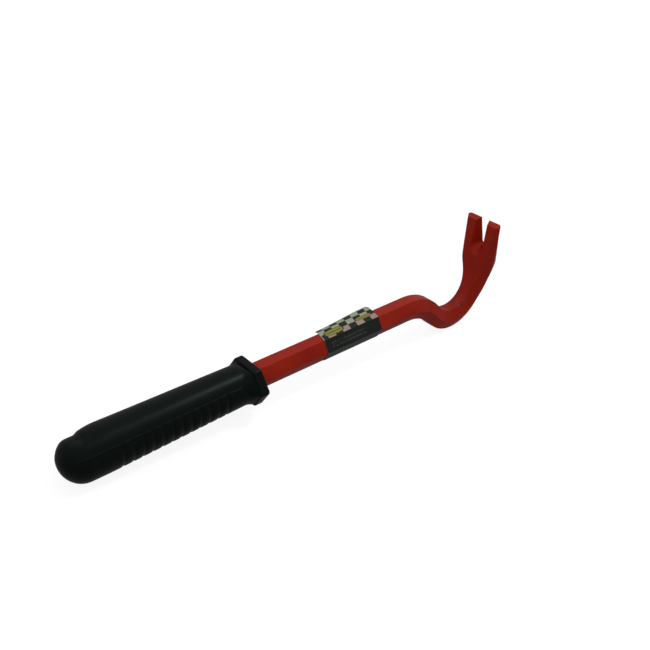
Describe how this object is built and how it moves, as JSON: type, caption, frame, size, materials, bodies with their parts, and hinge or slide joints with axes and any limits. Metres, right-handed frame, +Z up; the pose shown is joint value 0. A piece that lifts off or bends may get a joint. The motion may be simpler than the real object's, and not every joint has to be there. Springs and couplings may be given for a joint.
{
  "type": "pry bar",
  "caption": "Gooseneck pry bar: a hexagonal steel bar with a forged, slotted nail claw, a ribbed moulded grip with a hand stop, and a wrap-round paper label.",
  "frame": {"origin": "centre of the footprint, on the surface the bar lies on", "axes": "+X from the grip's butt to the claw, +Z up with the claw pointing up, +Y to the left of that"},
  "size_m": [0.363, 0.04, 0.0842],
  "materials": {
    "red_enamel": "semi-gloss enamel over forged steel",
    "black_grip": "satin moulded grip",
    "label_card": "coated printed card"
  },
  "bodies": {
    "root": {"steel_bar": "red_enamel", "grip": "black_grip", "label": "label_card"}
  },
  "joints": []
}
